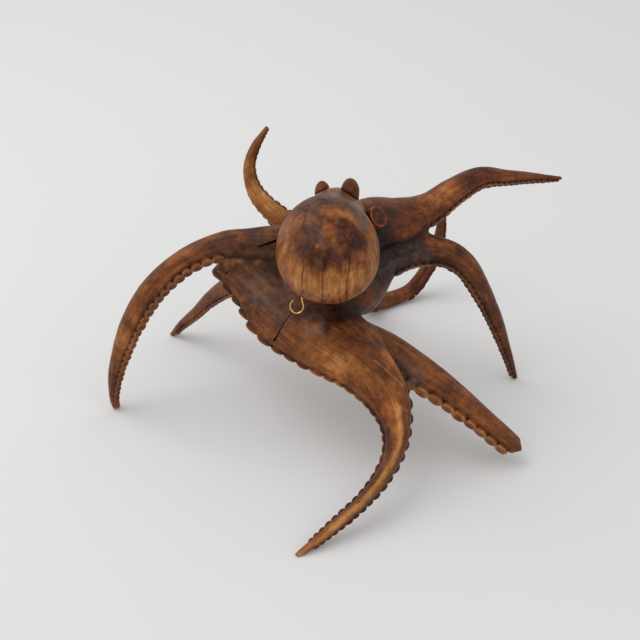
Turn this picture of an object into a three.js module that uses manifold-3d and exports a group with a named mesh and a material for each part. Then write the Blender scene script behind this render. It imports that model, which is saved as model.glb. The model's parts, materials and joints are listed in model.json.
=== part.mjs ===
// A carved wooden octopus standing on the tips of its arms, with a brass cup hook
// screwed into the underside of its mantle. Millimetres, +Z up, floor at z = 0,
// origin on the floor below the middle of the arms' spread; the mantle faces -Y.
import * as THREE from 'three';
import { mergeVertices } from 'three/addons/utils/BufferGeometryUtils.js';
import Module from 'manifold-3d';

const wasm = await Module();
wasm.setup();

// ---- Driving dimensions -------------------------------------------------------------
const ORIGIN_SHIFT = [-26, 34, 0]; // from the carving's own centre to the middle of its spread
const GAP = 0.3; // glue line between two pieces
const SIDES = 12; // facets round an arm
const STEPS = 3; // rings between two control sections of an arm
const CROWN = 0.6; // share of a section's height above its centreline
const BELLY = 0.4; // share below it, on the sucker side
const REACH = 900; // longer than the whole carving, for half-space cutters

const DOWEL = { diameter: 10, length: 44, clearance: 0.3, sides: 12 };
const PEG = { diameter: 5, length: 18, clearance: 0.3, sides: 10 };

// Arm sections from root to tip: x, y, z of the centreline, width across, height.
// `back` is the direction of the smooth outer side at the root.
const ARMS = {
  left: {
    back: [0, -0.2, 1],
    rows: [
      [-5, 25, 262, 76, 48], [-55, 10, 287, 66, 46], [-105, 0, 295, 49, 38],
      [-155, -11, 297, 41, 33], [-211, -23, 275, 36, 32], [-262, -30, 225, 41, 33],
      [-297, -34, 163, 40, 31], [-325, -36, 85, 29, 22], [-336, -36, 28, 17, 13],
      [-334, -36, -2, 9, 8],
    ],
  },
  left_rear: {
    back: [-0.3, -0.3, 1],
    rows: [
      [-25, 22, 226, 72, 44], [-72, 48, 212, 62, 38], [-112, 73, 186, 50, 32], [-152, 104, 145, 38, 26],
      [-186, 126, 104, 28, 20], [-213, 144, 63, 22, 16], [-240, 160, 28, 17, 12],
      [-259, 170, -2, 9, 8],
    ],
  },
  rear_left: {
    back: [-0.3, -0.6, 1],
    rows: [
      [10, 60, 240, 70, 44], [-32, 75, 263, 52, 38], [-67, 90, 288, 33, 28],
      [-97, 108, 310, 26, 22], [-111, 124, 332, 20, 17], [-114, 138, 357, 16, 14],
      [-104, 150, 383, 13, 11], [-84, 168, 408, 6, 6],
    ],
  },
  rear_right: {
    back: [0.3, -0.6, 1],
    rows: [
      [16, 40, 232, 70, 50], [36, 92, 206, 60, 42], [58, 140, 138, 48, 32],
      [71, 198, 65, 40, 30], [90, 240, 22, 35, 27], [126, 266, 9, 31, 23],
      [162, 283, 17, 26, 20], [189, 295, 50, 24, 18], [207, 302, 92, 22, 17],
      [214, 306, 140, 17, 13],
      [212, 308, 184, 7, 7],
    ],
  },
  right_raised: {
    back: [-0.3, -0.2, 1],
    rows: [
      [30, 30, 258, 120, 60], [75, 45, 297, 102, 66], [125, 57, 303, 84, 50],
      [170, 72, 313, 58, 38], [210, 92, 333, 46, 33], [252, 110, 348, 36, 28],
      [300, 125, 341, 26, 18], [345, 140, 332, 16, 11], [390, 150, 324, 6, 6],
    ],
  },
  right: {
    back: [-0.3, -0.4, 1],
    rows: [
      [58, 16, 188, 62, 46], [90, 28, 227, 54, 46], [126, 34, 250, 48, 36],
      [163, 37, 258, 46, 36], [200, 40, 252, 43, 36], [232, 40, 227, 39, 32],
      [259, 40, 181, 33, 27], [287, 42, 118, 25, 21], [312, 44, 50, 16, 13],
      [328, 45, -2, 9, 8],
    ],
  },
  front_right: {
    back: [0.2, -0.2, 1],
    rows: [
      [15, -45, 204, 79, 46], [43, -77, 187, 50, 38], [98, -88, 163, 52, 36],
      [147, -106, 134, 58, 34], [195, -129, 110, 47, 30], [250, -149, 70, 38, 26],
      [296, -168, 35, 33, 23],
    [303, -171, 31, 28, 20], [307, -173, 29, 16, 12],
    ],
  },
  front: {
    back: [-0.3, -0.3, 1],
    rows: [
      [-136, 16, 262, 74, 44], [-92, -15, 237, 102, 43], [-50, -45, 211, 137, 42], [8, -90, 184, 118, 42],
      [65, -136, 163, 88, 40], [102, -176, 134, 66, 38], [116, -214, 99, 40, 34],
      [105, -252, 66, 26, 26], [70, -300, 43, 20, 20], [19, -345, 22, 17, 14],
      [-34, -382, -1, 9, 8],
    ],
  },
};

// Where each plain arm is cut from the body: a point of the joint plane and its normal,
// which points along the arm.
const ARM_JOINTS = {
  left_rear: { at: [-104, 68, 191], along: [-0.76, 0.48, -0.44] },
  rear_left: { at: [-46, 81, 273], along: [-0.76, 0.33, 0.56] },
  rear_right: { at: [55, 130, 152], along: [0.25, 0.57, -0.78] },
  right_raised: { at: [168, 71, 312], along: [0.9, 0.34, 0.28] },
  right: { at: [168, 37, 256], along: [0.96, 0.12, 0.25] },
};
// The front right arm meets the front slab on a long slanted scarf.
const SCARF = { at: [100, -111, 178], along: [0.94, 0.33, 0.1], dowelAt: [97, -88, 160] };
// The left arm laps over the web: flat below, butted square at its root end.
const LAP = { height: 277, rootX: -52, outerX: -150, dowelAt: [-104, -3, 277] };

// The front slab and the web panel are fitted round one upright line, the split line:
// the flat joint faces run out from it towards these three points.
const SPLIT = {
  apex: [-41, -79, 217],
  upright: [-0.11, -0.45, 0.89],
  toWebEdge: [-69, -93, 185],
  toRight: [82, -55, 211],
  toLap: [-75, -8, 265],
};

const HUB = { centre: [15, 10, 215], radii: [85, 75, 50] };
const NECK_ROWS = [[12, 12, 205, 130, 110], [22, 26, 250, 104, 92], [31, 40, 302, 84, 76]];
const MANTLE_ROWS = [
  [12, -158, 322, 20, 20], [12, -150, 322, 80, 80], [12, -128, 322, 128, 128],
  [12, -95, 323, 154, 156], [12, -64, 323, 156, 156], [16, -25, 323, 130, 127],
  [23, 12, 322, 102, 105], [27, 38, 315, 80, 76], [29, 56, 310, 58, 54], [30, 68, 306, 16, 16],
];
const MANTLE_SIDES = 18;

const EYES = {
  left_eye: { base: [6, 22, 360], tip: [2, 28, 389], radius: 12.5 },
  right_eye: { base: [45, 9, 364], tip: [46, 12, 402], radius: 14.5 },
};
const EYE_PEG_SHARE = 0.3; // of an eye's height, where its peg is centred
const SIPHON = { base: [66, 14, 322], rim: [90, 0, 343], radius: 17, wall: 4, hollow: 12, pegShare: 0.33 };

const HOOK = {
  shankX: -27.6, y: -95, shankTop: 277, shankFoot: 257,
  loopX: -35.1, loopZ: 241.8, halfWidth: 10, halfHeight: 12.4,
  wire: 2.4, firstAngle: 30, lastAngle: -244, turns: 10, steps: 36, clearance: 0.3,
};

// ---- Finishes -----------------------------------------------------------------------
const wood = (color, roughness) => () =>
  new THREE.MeshStandardMaterial({ color, roughness, metalness: 0 });
const darkWood = wood(0x3b2118, 0.42);
const brownWood = wood(0x5a3018, 0.45);
const tanWood = wood(0x7a4a26, 0.5);
const mantleWood = wood(0x6b3a1b, 0.38);
const dowelWood = wood(0xc9a878, 0.7);
const brass = () =>
  new THREE.MeshStandardMaterial({ color: 0xc9a24a, roughness: 0.3, metalness: 1 });

// ---- Geometry helpers ---------------------------------------------------------------
const vec = (p) => new THREE.Vector3(...p);

function solid(geometry) {
  const bare = geometry.index ? geometry.toNonIndexed() : geometry.clone();
  for (const name of Object.keys(bare.attributes)) {
    if (name !== 'position') bare.deleteAttribute(name);
  }
  const welded = mergeVertices(bare, 1e-4);
  return new wasm.Manifold(new wasm.Mesh({
    numProp: 3,
    vertProperties: new Float32Array(welded.attributes.position.array),
    triVerts: new Uint32Array(welded.index.array),
  }));
}

function geometryOf(manifold) {
  const mesh = manifold.getMesh();
  const geometry = new THREE.BufferGeometry();
  geometry.setAttribute('position', new THREE.BufferAttribute(mesh.vertProperties, 3));
  geometry.setIndex(new THREE.BufferAttribute(mesh.triVerts, 1));
  geometry.computeVertexNormals();
  return geometry;
}

const join = (...parts) => parts.reduce((whole, part) => whole.add(part));
const cut = (whole, ...tools) => tools.reduce((rest, tool) => rest.subtract(tool), whole);

// A closed loft through elliptical sections; `grow` thickens it all round.
function loft(rows, back, grow = 0, sides = SIDES) {
  const spine = new THREE.CatmullRomCurve3(rows.map((r) => vec(r)), false, 'catmullrom', 0.5);
  const sizes = new THREE.CatmullRomCurve3(
    rows.map((r) => new THREE.Vector3(r[3], r[4], 0)), false, 'catmullrom', 0.5);
  const rings = (rows.length - 1) * STEPS + 1;
  const outward = vec(back);
  const positions = [];
  for (let i = 0; i < rings; i += 1) {
    const t = i / (rings - 1);
    const along = spine.getTangent(t);
    let centre = spine.getPoint(t);
    if (i === 0) centre = centre.addScaledVector(along, -grow);
    if (i === rings - 1) centre = centre.addScaledVector(along, grow);
    const size = sizes.getPoint(t);
    outward.addScaledVector(along, -outward.dot(along)).normalize();
    const across = new THREE.Vector3().crossVectors(outward, along);
    for (let j = 0; j < sides; j += 1) {
      const angle = (j / sides) * 2 * Math.PI;
      const share = Math.sin(angle) > 0 ? CROWN : BELLY;
      const sideways = Math.cos(angle) * (size.x / 2 + grow);
      const upward = Math.sin(angle) * (share * size.y + grow);
      const point = centre.clone().addScaledVector(across, sideways);
      positions.push(...point.addScaledVector(outward, upward).toArray());
    }
  }
  const index = [];
  for (let i = 0; i < rings - 1; i += 1) {
    for (let j = 0; j < sides; j += 1) {
      const a = i * sides + j;
      const b = i * sides + ((j + 1) % sides);
      index.push(a, b, b + sides, a, b + sides, a + sides);
    }
  }
  const last = (rings - 1) * sides;
  for (let j = 1; j < sides - 1; j += 1) {
    index.push(0, j + 1, j, last, last + j, last + j + 1);
  }
  const geometry = new THREE.BufferGeometry();
  geometry.setAttribute('position', new THREE.Float32BufferAttribute(positions, 3));
  geometry.setIndex(index);
  return geometry;
}

// Everything on the `along` side of a plane, moved off it by `offset`.
function halfSpace(at, along, offset = 0) {
  const normal = vec(along).normalize();
  const box = new THREE.BoxGeometry(REACH, REACH, REACH);
  box.applyQuaternion(new THREE.Quaternion().setFromUnitVectors(new THREE.Vector3(0, 0, 1), normal));
  const centre = vec(at).addScaledVector(normal, REACH / 2 + offset);
  return solid(box.translate(centre.x, centre.y, centre.z));
}

// The wedge between two joint faces that meet at the split line, shrunk by `inset`.
function wedge(fromPoint, toPoint, inset) {
  const upright = vec(SPLIT.upright).normalize();
  const flatten = (p) => {
    const ray = vec(p).sub(vec(SPLIT.apex));
    return ray.addScaledVector(upright, -ray.dot(upright)).normalize();
  };
  const from = flatten(fromPoint);
  const to = flatten(toPoint);
  const middle = from.clone().add(to).normalize();
  const halfAngle = Math.acos(THREE.MathUtils.clamp(from.dot(middle), -1, 1));
  const apex = vec(SPLIT.apex).addScaledVector(middle, inset / Math.sin(halfAngle));
  const aside = new THREE.Vector3().crossVectors(upright, from);
  const axes = new THREE.Matrix4().makeBasis(from, aside, upright);
  const local = (ray) => new THREE.Vector2(ray.dot(from), ray.dot(aside));
  const corners = [new THREE.Vector3(), from, middle.clone().multiplyScalar(2), to]
    .map((ray) => local(ray).multiplyScalar(REACH));
  const prism = new THREE.ExtrudeGeometry(new THREE.Shape(corners), { depth: REACH, bevelEnabled: false });
  prism.translate(0, 0, -REACH / 2).applyMatrix4(axes).translate(apex.x, apex.y, apex.z);
  return solid(prism);
}

// A round bar centred on a point.
function bar(at, along, diameter, length, sides) {
  const geometry = new THREE.CylinderGeometry(diameter / 2, diameter / 2, length, sides);
  const turn = new THREE.Quaternion().setFromUnitVectors(
    new THREE.Vector3(0, 1, 0), vec(along).normalize());
  return geometry.applyQuaternion(turn).translate(...at);
}

// The blind holes for a dowel or peg: its own shape with clearance all round.
const holeFor = ({ at, along, size }) => solid(bar(
  at, along, size.diameter + 2 * size.clearance, size.length + 4 * size.clearance, size.sides));

// ---- Joint faces and dowels ----------------------------------------------------------
const between = (a, b, share = 0.5) => vec(a).lerp(vec(b), share);
const faceNormal = (towards) => new THREE.Vector3()
  .crossVectors(vec(towards).sub(vec(SPLIT.apex)), vec(SPLIT.upright)).normalize();
// A point on a split face, `share` of the way out and `depth` below the carved surface.
const onFace = (towards, share, depth) => between(SPLIT.apex, towards, share)
  .addScaledVector(vec(SPLIT.upright).normalize(), -depth).toArray();

const DOWELS = {
  left: { at: LAP.dowelAt, along: [0, 0, 1], size: DOWEL },
  front_1: { at: onFace(SPLIT.toRight, 0.3, 24), along: faceNormal(SPLIT.toRight).toArray(), size: DOWEL },
  front_2: { at: onFace(SPLIT.toRight, 0.7, 26), along: faceNormal(SPLIT.toRight).toArray(), size: DOWEL },
  web: { at: onFace(SPLIT.toLap, 0.45, 20), along: faceNormal(SPLIT.toLap).toArray(), size: DOWEL },
  front_right: { at: SCARF.dowelAt, along: SCARF.along, size: DOWEL },
  neck: { at: [26, 22, 272], along: [0.05, 0.1, 1], size: DOWEL },
};
for (const [name, joint] of Object.entries(ARM_JOINTS)) {
  DOWELS[name] = { at: joint.at, along: joint.along, size: DOWEL };
}
const hole = Object.fromEntries(
  Object.entries(DOWELS).map(([name, dowel]) => [name, holeFor(dowel)]));

// ---- Carved pieces -------------------------------------------------------------------
const floor = halfSpace([0, 0, 0], [0, 0, -1]);
const armSolid = (name, grow = 0) => solid(loft(ARMS[name].rows, ARMS[name].back, grow));
const hubSolid = (grow) => solid(new THREE.SphereGeometry(1, 16, 10).rotateX(Math.PI / 2)
  .scale(...HUB.radii.map((radius) => radius + grow)).translate(...HUB.centre));
const mantleLoft = (grow) => solid(loft(MANTLE_ROWS, [0, 0, 1], grow, MANTLE_SIDES));

const arms = {};
const roots = [];
for (const [name, joint] of Object.entries(ARM_JOINTS)) {
  const whole = armSolid(name);
  arms[name] = cut(whole.intersect(halfSpace(joint.at, joint.along, GAP / 2)), floor, hole[name]);
  roots.push(cut(whole, halfSpace(joint.at, joint.along, -GAP / 2)));
}

const leftWhole = armSolid('left');
const leftRootEnd = [LAP.rootX, 0, LAP.height];
const lapLength = LAP.rootX - LAP.outerX;
const lapBlock = (shift) => {
  const block = new THREE.BoxGeometry(lapLength, REACH, REACH);
  const x = LAP.rootX - lapLength / 2;
  return solid(block.translate(x, 0, LAP.height + shift));
};
arms.left = cut(
  leftWhole.intersect(halfSpace(leftRootEnd, [-1, 0, 0], GAP / 2)),
  lapBlock(GAP / 2 - REACH / 2), floor, hole.left);
roots.push(cut(leftWhole, halfSpace(leftRootEnd, [-1, 0, 0], -GAP / 2)));

const frontWhole = armSolid('front');
const frontRightWhole = armSolid('front_right');
const frontRightRoot = cut(frontRightWhole, halfSpace(SCARF.at, SCARF.along, -GAP / 2));
arms.front_right = cut(
  frontRightWhole.intersect(halfSpace(SCARF.at, SCARF.along, GAP / 2)),
  armSolid('front', GAP), armSolid('right', GAP), hubSolid(GAP), hole.front_right);

const frontShapes = join(frontWhole, frontRightRoot);
arms.front = cut(
  frontShapes.intersect(wedge(SPLIT.toWebEdge, SPLIT.toRight, GAP / 2)),
  floor, hole.front_1, hole.front_2, hole.front_right);

const web = cut(
  frontWhole.intersect(wedge(SPLIT.toLap, SPLIT.toWebEdge, GAP / 2)),
  lapBlock(REACH / 2 - GAP / 2), hole.left, hole.web);

const core = cut(
  join(hubSolid(0), frontShapes),
  wedge(SPLIT.toWebEdge, SPLIT.toRight, -GAP / 2), wedge(SPLIT.toLap, SPLIT.toWebEdge, -GAP / 2),
  lapBlock(REACH / 2 - GAP / 2));

// An egg-shaped knob on the head: a lathe from a wide foot to a small flat top.
function eyeGeometry({ base, tip, radius }) {
  const height = vec(base).distanceTo(vec(tip));
  const outline = [
    [0, 0], [0.86, 0], [1, 0.3], [0.95, 0.55], [0.72, 0.8], [0.38, 0.96], [0.22, 1], [0, 1],
  ];
  const profile = outline.map(([r, h]) => new THREE.Vector2(r * radius, h * height));
  const turn = new THREE.Quaternion().setFromUnitVectors(
    new THREE.Vector3(0, 1, 0), vec(tip).sub(vec(base)).normalize());
  return new THREE.LatheGeometry(profile, 14).applyQuaternion(turn).translate(...base);
}

// The siphon: a thick-lipped cup leaning out from the right side of the head.
function siphonGeometry({ base, rim, radius, wall, hollow }, grow = 0) {
  const height = vec(base).distanceTo(vec(rim));
  const outer = [[0, 0], [0.62, 0], [0.84, 0.3], [1, 0.75], [0.96, 1]]
    .map(([r, h]) => new THREE.Vector2(r ? r * radius + grow : 0, h * height));
  const inner = [[0.96 - wall / radius, 1], [0.6, 1 - (0.6 * hollow) / height], [0, 1 - hollow / height]]
    .map(([r, h]) => new THREE.Vector2(r * radius, h * height));
  const profile = grow ? [...outer, new THREE.Vector2(0, height)] : [...outer, ...inner];
  const turn = new THREE.Quaternion().setFromUnitVectors(
    new THREE.Vector3(0, 1, 0), vec(rim).sub(vec(base)).normalize());
  return new THREE.LatheGeometry(profile, 16).applyQuaternion(turn).translate(...base);
}

const headPegs = {};
for (const [name, eye] of Object.entries(EYES)) {
  headPegs[name] = { at: between(eye.base, eye.tip, EYE_PEG_SHARE).toArray(),
    along: vec(eye.tip).sub(vec(eye.base)).toArray(), size: PEG };
}
headPegs.siphon = { at: between(SIPHON.base, SIPHON.rim, SIPHON.pegShare).toArray(),
  along: vec(SIPHON.rim).sub(vec(SIPHON.base)).toArray(), size: PEG };

const grownMantle = mantleLoft(GAP);
const grownSiphon = solid(siphonGeometry(SIPHON, GAP));
const body = cut(
  join(core, solid(loft(NECK_ROWS, [0, -1, 0])), ...roots),
  grownMantle, grownSiphon, ...Object.values(hole));

const shankHole = solid(bar(
  [HOOK.shankX, HOOK.y, HOOK.shankTop], [0, 0, 1],
  HOOK.wire + 2 * HOOK.clearance, 2 * (HOOK.shankTop - HOOK.shankFoot), PEG.sides));
const mantle = cut(
  mantleLoft(0), hole.neck, shankHole, ...Object.values(headPegs).map(holeFor));

// ---- The cup hook --------------------------------------------------------------------
function hookGeometry() {
  const points = [
    new THREE.Vector3(HOOK.shankX, HOOK.y, HOOK.shankTop - HOOK.clearance),
    new THREE.Vector3(HOOK.shankX, HOOK.y, (HOOK.shankTop + HOOK.shankFoot) / 2),
    new THREE.Vector3(HOOK.shankX, HOOK.y, HOOK.shankFoot),
  ];
  for (let i = 0; i <= HOOK.turns; i += 1) {
    const angle = THREE.MathUtils.degToRad(
      THREE.MathUtils.lerp(HOOK.firstAngle, HOOK.lastAngle, i / HOOK.turns));
    points.push(new THREE.Vector3(
      HOOK.loopX + HOOK.halfWidth * Math.cos(angle), HOOK.y,
      HOOK.loopZ + HOOK.halfHeight * Math.sin(angle)));
  }
  const section = new THREE.Shape().absarc(0, 0, HOOK.wire / 2, 0, 2 * Math.PI);
  return new THREE.ExtrudeGeometry(section, {
    steps: HOOK.steps, curveSegments: 4, bevelEnabled: false,
    extrudePath: new THREE.CatmullRomCurve3(points),
  });
}

// ---- Assembly ------------------------------------------------------------------------
const octopus = new THREE.Group();
octopus.position.set(...ORIGIN_SHIFT);

function add(name, geometry, material) {
  const mesh = new THREE.Mesh(geometry, material());
  mesh.name = name;
  octopus.add(mesh);
}

add('body', geometryOf(body), darkWood);
add('web_left', geometryOf(web), darkWood);
add('mantle', geometryOf(mantle), mantleWood);
for (const [name, eye] of Object.entries(EYES)) {
  const knob = cut(solid(eyeGeometry(eye)), grownMantle, holeFor(headPegs[name]));
  add(name, geometryOf(knob), brownWood);
}
const siphon = cut(solid(siphonGeometry(SIPHON)), grownMantle, holeFor(headPegs.siphon));
add('siphon', geometryOf(siphon), brownWood);
const armFinish = { left: brownWood, front: brownWood, right: brownWood, front_right: brownWood };
for (const [name, arm] of Object.entries(arms)) {
  add(`arm_${name}`, geometryOf(arm), armFinish[name] ?? tanWood);
}
for (const [name, { at, along, size }] of Object.entries(DOWELS)) {
  add(`dowel_${name}`, bar(at, along, size.diameter, size.length, size.sides), dowelWood);
}
for (const [name, { at, along, size }] of Object.entries(headPegs)) {
  add(`peg_${name}`, bar(at, along, size.diameter, size.length, size.sides), dowelWood);
}
add('cup_hook', hookGeometry(), brass);

export default octopus;
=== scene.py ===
"""A carved wooden octopus on its arm tips, with a brass cup hook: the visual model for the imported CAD.

The wood is shaped as one distance field, so that arms, web and neck flow into each other. Its surface gets
its suckers, holes and cracks while it is whole. It is then sawn into the pieces of the CAD model along their
joint faces, and each piece gets its grain and colours. Lengths are in millimetres up to new_object(), which
makes metres.
"""
import json
import math

import bmesh
import bpy
import numpy as np
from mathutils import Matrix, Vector


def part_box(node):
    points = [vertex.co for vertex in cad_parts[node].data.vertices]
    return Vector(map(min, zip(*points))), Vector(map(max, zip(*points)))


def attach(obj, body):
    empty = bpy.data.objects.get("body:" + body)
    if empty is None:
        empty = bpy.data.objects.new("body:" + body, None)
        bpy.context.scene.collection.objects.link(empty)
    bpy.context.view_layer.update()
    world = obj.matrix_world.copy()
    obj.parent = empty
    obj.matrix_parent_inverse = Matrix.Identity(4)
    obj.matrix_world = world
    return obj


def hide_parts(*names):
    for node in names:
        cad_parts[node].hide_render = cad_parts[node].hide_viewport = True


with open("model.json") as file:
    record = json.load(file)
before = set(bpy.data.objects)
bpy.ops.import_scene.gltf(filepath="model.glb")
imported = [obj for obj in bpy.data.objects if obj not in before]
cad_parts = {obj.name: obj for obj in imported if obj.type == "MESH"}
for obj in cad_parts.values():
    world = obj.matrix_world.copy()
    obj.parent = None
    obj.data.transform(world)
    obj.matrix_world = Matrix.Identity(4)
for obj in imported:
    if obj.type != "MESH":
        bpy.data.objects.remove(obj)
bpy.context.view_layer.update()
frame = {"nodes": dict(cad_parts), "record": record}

MM = 0.001
CELL = 2.0  # pitch of the field
PITCH = 6.0  # between two rings of a spine
CROWN, BELLY = 0.6, 0.4  # shares of a section's height above and below its spine
GAP = 0.3  # glue line
FAR = 400.0  # a distance beyond any that matters
SHIFT = np.array([-26.0, 34.0, 0.0])  # from the routes' frame to the part's

# ---- The carving's routes: x, y, z, width, height -----------------------------------
# The rows of the arms and the neck are the CAD model's.
ARMS = {
    "left": ((0, -0.2, 1), [
        (-5, 25, 262, 76, 48), (-55, 10, 287, 66, 46), (-105, 0, 295, 49, 38), (-155, -11, 297, 41, 33),
        (-211, -23, 275, 36, 32), (-262, -30, 225, 41, 33), (-297, -34, 163, 40, 31), (-325, -36, 85, 29, 22),
        (-336, -36, 28, 17, 13), (-334, -36, -2, 9, 8)]),
    "left_rear": ((-0.3, -0.3, 1), [
        (-25, 22, 226, 72, 44), (-72, 48, 212, 62, 38), (-112, 73, 186, 50, 32), (-152, 104, 145, 38, 26),
        (-186, 126, 104, 28, 20), (-213, 144, 63, 22, 16), (-240, 160, 28, 17, 12), (-259, 170, -2, 9, 8)]),
    "rear_left": ((-0.3, -0.6, 1), [
        (10, 60, 240, 70, 44), (-32, 75, 263, 52, 38), (-67, 90, 288, 33, 28), (-97, 108, 310, 26, 22),
        (-111, 124, 332, 20, 17), (-114, 138, 357, 16, 14), (-104, 150, 383, 13, 11), (-84, 168, 408, 6, 6)]),
    "rear_right": ((0.3, -0.6, 1), [
        (16, 40, 232, 70, 50), (36, 92, 206, 60, 42), (58, 140, 138, 48, 32), (71, 198, 65, 40, 30),
        (90, 240, 22, 35, 27), (126, 266, 9, 31, 23), (162, 283, 17, 26, 20), (189, 295, 50, 24, 18),
        (207, 302, 92, 22, 17), (214, 306, 140, 17, 13), (212, 308, 184, 7, 7)]),
    "right_raised": ((-0.3, -0.2, 1), [
        (30, 30, 258, 120, 60), (75, 45, 297, 102, 66), (125, 57, 303, 84, 50), (170, 72, 313, 58, 38),
        (210, 92, 333, 46, 33), (252, 110, 348, 36, 28), (300, 125, 341, 26, 18), (345, 140, 332, 16, 11),
        (390, 150, 324, 6, 6)]),
    "right": ((-0.3, -0.4, 1), [
        (58, 16, 188, 62, 46), (90, 28, 227, 54, 46), (126, 34, 250, 48, 36), (163, 37, 258, 46, 36),
        (200, 40, 252, 43, 36), (232, 40, 227, 39, 32), (259, 40, 181, 33, 27), (287, 42, 118, 25, 21),
        (312, 44, 50, 16, 13), (328, 45, -2, 9, 8)]),
    "front_right": ((0.2, -0.2, 1), [
        (15, -45, 204, 79, 46), (43, -77, 187, 50, 38), (98, -88, 163, 52, 36), (147, -106, 134, 58, 34),
        (195, -129, 110, 47, 30), (250, -149, 70, 38, 26), (296, -168, 35, 33, 23),
        (303, -171, 31, 28, 20), (307, -173, 29, 16, 12)]),
    "front": ((-0.3, -0.3, 1), [
        (-136, 16, 262, 74, 44), (-92, -15, 237, 102, 43), (-50, -45, 211, 137, 42), (8, -90, 184, 118, 42),
        (65, -136, 163, 88, 40), (102, -176, 134, 66, 38), (116, -214, 99, 40, 34), (105, -252, 66, 26, 26),
        (70, -300, 43, 20, 20), (19, -345, 22, 17, 14), (-34, -382, -1, 9, 8)]),
}
HUB = ((15, 10, 215), (85, 75, 50))
NECK = ((0, -1, 0), [(12, 12, 205, 130, 110), (22, 26, 250, 104, 92), (31, 40, 302, 84, 76)])
# The mantle's round end is a superellipse of this length and power, ahead of its widest section. The rows
# behind that are the CAD model's, but for the second and the third, which are slimmer.
NOSE_LENGTH, NOSE_POWER = 92, 2.2


def nose_row(degrees):
    """One row of the mantle's round end, from the tip at 0 degrees to the widest section at 90."""
    angle = math.radians(degrees)
    ahead, aside = math.cos(angle) ** (2 / NOSE_POWER), math.sin(angle) ** (2 / NOSE_POWER)
    return (12, -72 - NOSE_LENGTH * ahead, 322, 156 * aside, 157 * aside)


MANTLE = ((0, 0, 1), [nose_row(degrees) for degrees in (3, 16, 29, 42, 55, 68, 80)] + [
    (12, -64, 323, 156, 156), (18, -25, 323, 124, 125), (25, 12, 322, 98, 103), (27, 38, 315, 80, 76),
    (29, 56, 310, 58, 54), (30, 68, 306, 16, 16)])

# Joint planes of the plain arms: a point and the direction of the arm there.
JOINTS = {
    "left_rear": ((-104, 68, 191), (-0.76, 0.48, -0.44)),
    "rear_left": ((-46, 81, 273), (-0.76, 0.33, 0.56)),
    "rear_right": ((55, 130, 152), (0.25, 0.57, -0.78)),
    "right_raised": ((168, 71, 312), (0.9, 0.34, 0.28)),
    "right": ((168, 37, 256), (0.96, 0.12, 0.25)),
}
SCARF = ((100, -111, 178), (0.94, 0.33, 0.1))
LAP_HEIGHT, LAP_ROOT_X, LAP_OUTER_X = 277, -52, -150
SPLIT_APEX = np.array([-41.0, -79.0, 217.0]) + SHIFT
SPLIT_UPRIGHT = np.array([-0.11, -0.45, 0.89])
TO_WEB_EDGE, TO_RIGHT, TO_LAP = (-69, -93, 185), (82, -55, 211), (-75, -8, 265)

# How softly each arm flows into what was laid before it.
FLOW = {"front": 24, "front_right": 15, "right_raised": 22, "right": 34, "rear_right": 22,
        "rear_left": 18, "left_rear": 20, "left": 30}


# ---- Spines -------------------------------------------------------------------------
BLOCK = 20000  # points measured at a time
def unit(v):
    v = np.asarray(v, float)
    return v / np.linalg.norm(v)


def put(point):
    """A point of the routes, in the part's frame."""
    return np.array(point, float) + SHIFT


def bend(p0, p1, p2, p3, t):
    """A Catmull-Rom curve at shares t of the way from p1 to p2."""
    m0, m1 = (p2 - p0) / 2, (p3 - p1) / 2
    return p1 + m0 * t + (3 * (p2 - p1) - 2 * m0 - m1) * t**2 + (2 * (p1 - p2) + m0 + m1) * t**3


def catmull_rom(rows, pitch):
    """Rows of a Catmull-Rom curve through the given rows, about one pitch apart."""
    rows = np.asarray(rows, float)
    out = []
    for i in range(len(rows) - 1):
        p1, p2 = rows[i], rows[i + 1]
        p0 = rows[i - 1] if i else 2 * p1 - p2
        p3 = rows[i + 2] if i + 2 < len(rows) else 2 * p2 - p1
        count = max(2, math.ceil(np.linalg.norm(p2 - p1) / pitch))
        out.append(bend(p0, p1, p2, p3, np.arange(count)[:, None] / count))
    return np.vstack(out + [rows[-1:]])


class Spine:
    """Rings along a route: centre, tangent, outward and across directions, half width, crown and belly."""

    def __init__(self, back, rows, pitch=PITCH):
        rings = catmull_rom(rows, pitch)
        self.centre = rings[:, :3] + SHIFT
        self.half = rings[:, 3] / 2
        self.crown, self.belly = CROWN * rings[:, 4], BELLY * rings[:, 4]
        tangent = np.gradient(self.centre, axis=0)
        self.tangent = tangent / np.linalg.norm(tangent, axis=1)[:, None]
        self.outward = np.zeros_like(self.centre)
        outward = np.asarray(back, float)
        for i, along in enumerate(self.tangent):
            outward = unit(outward - (outward @ along) * along)
            self.outward[i] = outward
        self.across = np.cross(self.outward, self.tangent)
        steps = np.linalg.norm(np.diff(self.centre, axis=0), axis=1)
        self.arc = np.concatenate([[0], np.cumsum(steps)])

    def nearest(self, points):
        """Index of the nearest ring for each point."""
        out = np.empty(len(points), int)
        for i in range(0, len(points), BLOCK):
            gaps = ((points[i:i + BLOCK, None, :] - self.centre[None]) ** 2).sum(2)
            out[i:i + BLOCK] = gaps.argmin(1)
        return out

    def local(self, points):
        """Each point as (distance along the arm, across it, outward from it)."""
        rings = self.nearest(points)
        rel = points - self.centre[rings]
        along = self.arc[rings] + (rel * self.tangent[rings]).sum(1)
        return np.stack([along, (rel * self.across[rings]).sum(1), (rel * self.outward[rings]).sum(1)], 1)


def tube_faces(rings, sides):
    """Quads of a tube of rings, with a polygon closing each end."""
    faces = []
    for i in range(rings - 1):
        for j in range(sides):
            a, b = i * sides + j, i * sides + (j + 1) % sides
            faces.append((a, b, b + sides, a + sides))
    faces.append(tuple(range(sides - 1, -1, -1)))
    faces.append(tuple((rings - 1) * sides + j for j in range(sides)))
    return faces


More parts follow.
